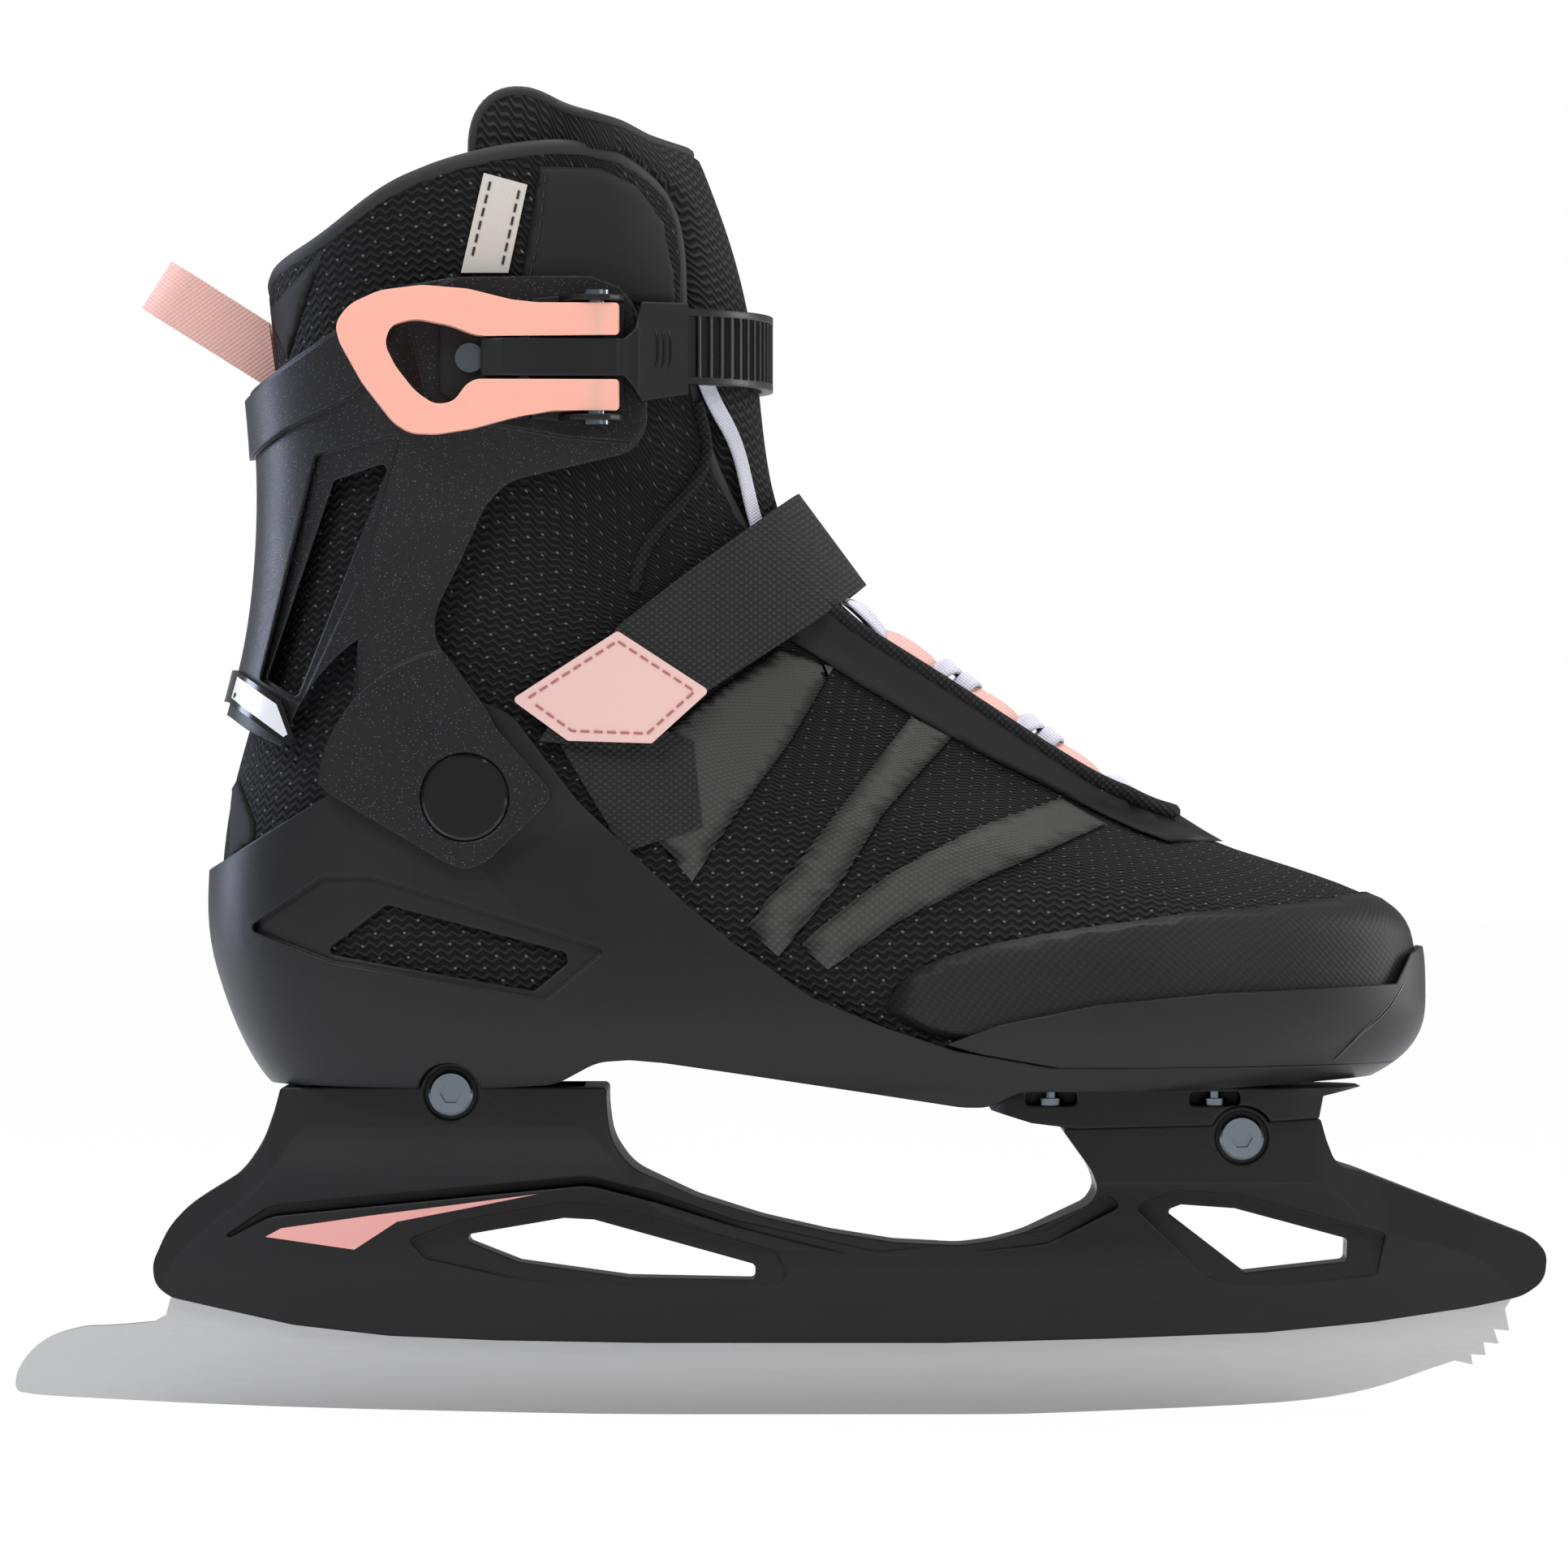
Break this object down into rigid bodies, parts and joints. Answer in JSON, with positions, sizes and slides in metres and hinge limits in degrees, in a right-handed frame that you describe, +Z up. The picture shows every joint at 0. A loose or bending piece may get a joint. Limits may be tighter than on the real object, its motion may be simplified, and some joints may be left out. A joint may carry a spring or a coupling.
{
  "type": "ice skate",
  "caption": "Recreational ice skate for the right foot: steel blade with toe picks in a moulded holder, soft boot in a plastic shell with hinged ankle cuff, lever buckle, instep strap and laces.",
  "frame": {"origin": "middle of the flat running face under the blade, in the blade's mid-plane", "axes": "+X towards the toe, +Z up, +Y towards the inner side of the foot"},
  "size_m": [0.364, 0.118, 0.3112],
  "materials": {
    "blade_steel": "brushed along the blade",
    "holder_plastic": "satin moulded black",
    "zinc_steel": "zinc plated",
    "shell_plastic": "fine grained black",
    "toe_rubber": "satin",
    "knit_mesh": "coarse black knit with a metallic thread",
    "board_fibre": "pressed fibre board",
    "insole_foam": "foam under knit",
    "tongue_mesh": "padded black knit",
    "webbing_black": "woven webbing",
    "tab_leatherette": "smooth pink leatherette, stitched",
    "lace_white": "braided lace",
    "cuff_plastic": "black with a fine metallic fleck",
    "gloss_black": "polished",
    "badge_plate": "printed plate",
    "strap_plastic": "moulded black",
    "smooth_neoprene": "smooth pad",
    "woven_tag": "woven label, no text",
    "webbing_pink": "ribbed webbing",
    "lever_pink": "peach pink, slightly translucent"
  },
  "bodies": {
    "boot": {"blade": "blade_steel", "blade_holder": "holder_plastic", "rear_bolt": "zinc_steel", "rear_nut": "zinc_steel", "front_bolt": "zinc_steel", "front_nut": "zinc_steel", "front_mount": "shell_plastic", "mount_screws": "zinc_steel", "shell": "shell_plastic", "toe_cap": "toe_rubber", "pivot_rivets": "zinc_steel", "boot_vamp": "knit_mesh", "boot_quarter_outer": "knit_mesh", "boot_quarter_inner": "knit_mesh", "lasting_board": "board_fibre", "insole": "insole_foam", "tongue_lower": "tongue_mesh", "instep_strap": "webbing_black", "strap_tab": "tab_leatherette", "instep_anchor": "webbing_black", "lace": "lace_white"},
    "ankle_cuff": {"cuff": "cuff_plastic", "pivot_caps": "gloss_black", "rear_badge": "badge_plate", "boot_collar_outer": "knit_mesh", "boot_collar_inner": "knit_mesh", "tongue_upper": "tongue_mesh", "buckle_base": "shell_plastic", "buckle_rivet": "zinc_steel", "lever_pins": "zinc_steel", "ankle_strap": "strap_plastic", "strap_rivet": "zinc_steel", "collar_pads": "smooth_neoprene", "size_tag": "woven_tag", "pull_loop": "webbing_pink"},
    "lever": {"buckle_lever": "lever_pink", "arm_pin": "zinc_steel"},
    "arm": {"buckle_arm": "strap_plastic"}
  },
  "joints": [
    {"name": "cuff_flex", "type": "hinge", "parent": "boot", "child": "ankle_cuff", "pos_m": [-0.0771, 0, 0.1469], "axis": [0, 1, 0], "range_deg": [-3, 9]},
    {"name": "lever_open", "type": "hinge", "parent": "ankle_cuff", "child": "lever", "pos_m": [-0.0462, -0.05548, 0.2488], "axis": [0, 0, 1], "range_deg": [0, 110]},
    {"name": "arm_swing", "type": "hinge", "parent": "lever", "child": "arm", "pos_m": [-0.06282, -0.05574, 0.2488], "axis": [0, 0, 1], "range_deg": [-88, 0]}
  ],
  "couplings": [
    {"joint": "arm_swing", "follows": "lever_open", "ratio": -0.8}
  ]
}
